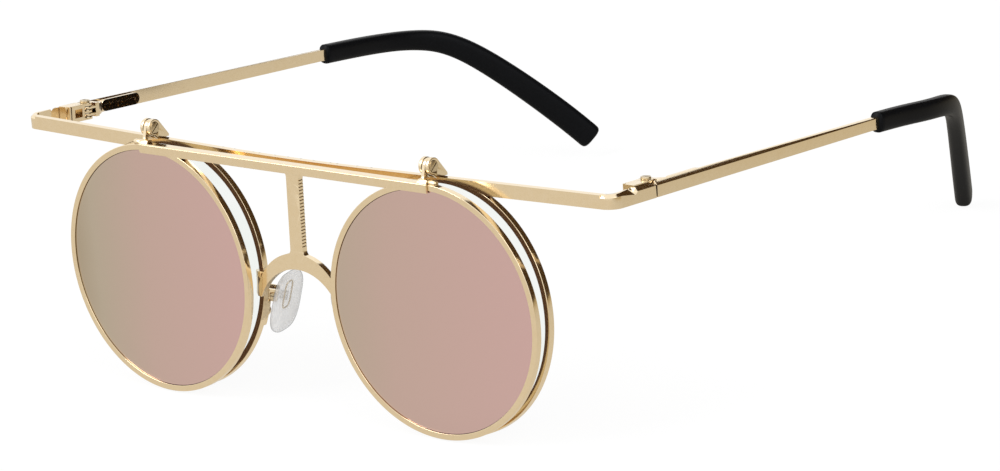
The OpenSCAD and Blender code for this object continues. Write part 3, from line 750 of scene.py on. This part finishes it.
    def core(self, side, settings, centre, across, upward):
        """The metal core seen inside the clear pad: a wire bent into a slot shape.

        Its outline is a superellipse x = a |cos t|^0.5, y = b |sin t|^0.5 with the signs of cos and sin.
        """
        wire = 0.15 * MM
        t = np.linspace(0, 2 * math.pi, 64, endpoint=False)[:, None]
        x = np.sign(np.cos(t)) * np.abs(np.cos(t)) ** 0.5 * settings.core_width / 2
        y = np.sign(np.sin(t)) * np.abs(np.sin(t)) ** 0.5 * settings.core_height / 2
        piece = ring_tube(f"pad_core_{side}", centre + x * across + y * upward, wire)
        dress(face_outward(piece), bpy.data.materials["steel_screw_turned"])
        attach(piece, f"pad_{side}")


class SUNGLASSES_OT_stage(bpy.types.Operator):
    """Sets the pale floor, the soft lamps, the dark card, the world and the camera"""

    bl_idname = "sunglasses.stage"
    bl_label = "Studio"

    def execute(self, context):
        settings = settings_of(context)
        self.floor(settings)
        self.lamps(settings)
        self.card()
        self.world(context.scene)
        self.camera(context.scene)
        context.scene.view_settings.view_transform = "Standard"
        return {"FINISHED"}

    def floor(self, settings):
        """A level square below the part: white to the camera with a faint shadow, and in reflections a
        glowing pale grey with painted light falloff, darker and warmer towards the back right, as paper is
        away from the lamps."""
        size = 6.0
        corners = np.array([(-size, -size, 0), (size, -size, 0), (size, size, 0), (-size, size, 0)])
        floor = mesh_object("studio_floor", corners, [np.array([[0, 1, 2, 3]])], smooth=False)
        made, tree, surface = material("paper_roll_matt_white")
        paper = add(tree, "ShaderNodeBsdfDiffuse", Color=linear(settings.floor), Roughness=0.6)
        place = add(tree, "ShaderNodeTexCoord")
        # painted light falloff: what reflections see of the floor glows darker and warmer towards the back
        # right
        slant = vectors(tree, "DOT_PRODUCT", place.outputs["Object"], (0.6, 0.8, 0))
        far = spread(tree, slant.outputs["Value"], 0.0, 1.0, -60 * MM, 340 * MM)
        tone = ramp(tree, far, [(0.0, "#ddd7cd"), (0.47, "#cec9bf"), (0.62, "#cabfa8"), (0.8, "#b2a281")])
        mirrored = add(tree, "ShaderNodeEmission", Color=tone, Strength=1.0)
        white = add(tree, "ShaderNodeEmission", Strength=1.03)
        rays = add(tree, "ShaderNodeLightPath").outputs
        shown = blend(tree, rays["Is Glossy Ray"], white.outputs["Emission"], mirrored.outputs["Emission"])
        seen = maths(tree, "MAXIMUM", rays["Is Camera Ray"], rays["Is Transmission Ray"])
        share = maths(tree, "MAXIMUM", maths(tree, "MULTIPLY", seen, 0.9), rays["Is Glossy Ray"])
        tree.links.new(blend(tree, share, paper.outputs["BSDF"], shown), surface)
        dress(floor, made)

    def lamps(self, settings):
        """Two large soft lamps: one above the front left, one above the right."""
        for name, place, power, size in (
            ("key_soft_box", (-0.7, -0.9, 1.1), settings.lamp * 8, 0.9),
            ("fill_soft_box", (1.0, -0.3, 0.9), settings.lamp * 3, 0.8),
        ):
            lamp = bpy.data.lights.new(name, "AREA")
            lamp.energy = power
            lamp.size = size
            holder = bpy.data.objects.new(name, lamp)
            bpy.context.scene.collection.objects.link(holder)
            holder.location = place
            holder.rotation_mode = "QUATERNION"
            holder.rotation_quaternion = (-Vector(place)).to_track_quat("-Z", "Y")

    def card(self):
        """A dark curved card that only reflections see, as a studio sets it to draw dark edges on polished
        metal. It stands on an arc behind the part, with its angles in degrees from the back to the right."""
        start, end, distance, height, spans = -14, 66, 0.45, 0.72, 24
        made, tree, surface = material("card_matt_black")
        black = add(tree, "ShaderNodeBsdfDiffuse", Color=linear("#544029"), Roughness=0.9)
        tree.links.new(black.outputs["BSDF"], surface)
        angle = np.radians(np.linspace(start, end, spans + 1))
        out = np.stack([np.sin(angle), np.cos(angle), 0 * angle], -1) * distance
        corners = np.concatenate([out, out + (0, 0, height)])
        k = np.arange(spans)
        quads = np.stack([k, k + 1, k + spans + 2, k + spans + 1], -1)
        card = mesh_object("card_behind_right", corners, [quads], smooth=False)
        dress(card, made)
        card.visible_camera = False
        card.visible_diffuse = False
        card.visible_shadow = False
        card.visible_transmission = False

    def world(self, scene):
        """Soft light from all round; white behind the part for the camera, metal and glass."""
        world = bpy.data.worlds.new("studio")
        scene.world = world
        world.use_nodes = True
        tree = world.node_tree
        tree.nodes.clear()
        output = tree.nodes.new("ShaderNodeOutputWorld")
        soft = add(tree, "ShaderNodeBackground", Color=linear("#ffffff"), Strength=0.55)
        white = add(tree, "ShaderNodeBackground", Color=linear("#ffffff"), Strength=1.0)
        rays = add(tree, "ShaderNodeLightPath").outputs
        seen = maths(tree, "MAXIMUM", rays["Is Camera Ray"], rays["Is Glossy Ray"])
        seen = maths(tree, "MAXIMUM", seen, rays["Is Transmission Ray"])
        both = blend(tree, seen, soft.outputs["Background"], white.outputs["Background"])
        tree.links.new(both, output.inputs["Surface"])

    def camera(self, scene):
        """The camera stands in the direction (sin a cos e, -cos a cos e, sin e) of the part, with a its
        azimuth and e its elevation, and is turned by its roll."""
        lens = bpy.data.cameras.new("photo_camera")
        lens.lens = CAMERA_LENS
        lens.sensor_width = 36.0
        lens.clip_start, lens.clip_end = 0.01, 50.0
        camera = bpy.data.objects.new("photo_camera", lens)
        scene.collection.objects.link(camera)
        azimuth, elevation = math.radians(CAMERA_AZIMUTH), math.radians(CAMERA_ELEVATION)
        level = math.cos(elevation)
        back = Vector((math.sin(azimuth) * level, -math.cos(azimuth) * level, math.sin(elevation)))
        right = Vector((math.cos(azimuth), math.sin(azimuth), 0))
        up = back.cross(right)
        turn = Matrix((right, up, back)).transposed() @ Matrix.Rotation(math.radians(CAMERA_ROLL), 3, "Z")
        camera.matrix_world = Matrix.Translation(
            (Vector(CAMERA_TARGET) + back * CAMERA_DISTANCE) * MM) @ turn.to_4x4()
        scene.camera = camera


STEPS = (
    SUNGLASSES_OT_metalwork,
    SUNGLASSES_OT_rims,
    SUNGLASSES_OT_lenses,
    SUNGLASSES_OT_soft_parts,
    SUNGLASSES_OT_stage,
)


class SUNGLASSES_PT_panel(bpy.types.Panel):
    """Lists the operators and the settings in the sidebar"""

    bl_idname = "SUNGLASSES_PT_panel"
    bl_label = "Sunglasses"
    bl_space_type = "VIEW_3D"
    bl_region_type = "UI"
    bl_category = "Sunglasses"

    def draw(self, context):
        settings = settings_of(context)
        for name in SunglassesSettings.__annotations__:
            self.layout.prop(settings, name)
        for step in STEPS:
            self.layout.operator(step.bl_idname)


def register():
    bpy.utils.register_class(SunglassesSettings)
    bpy.types.Scene.sunglasses = bpy.props.PointerProperty(type=SunglassesSettings)
    for step in STEPS:
        bpy.utils.register_class(step)
    bpy.utils.register_class(SUNGLASSES_PT_panel)


def unregister():
    bpy.utils.unregister_class(SUNGLASSES_PT_panel)
    for step in reversed(STEPS):
        bpy.utils.unregister_class(step)
    del bpy.types.Scene.sunglasses
    bpy.utils.unregister_class(SunglassesSettings)


def main():
    register()
    for step in STEPS:
        group, name = step.bl_idname.split(".")
        getattr(getattr(bpy.ops, group), name)()


if __name__ == "__main__":
    main()
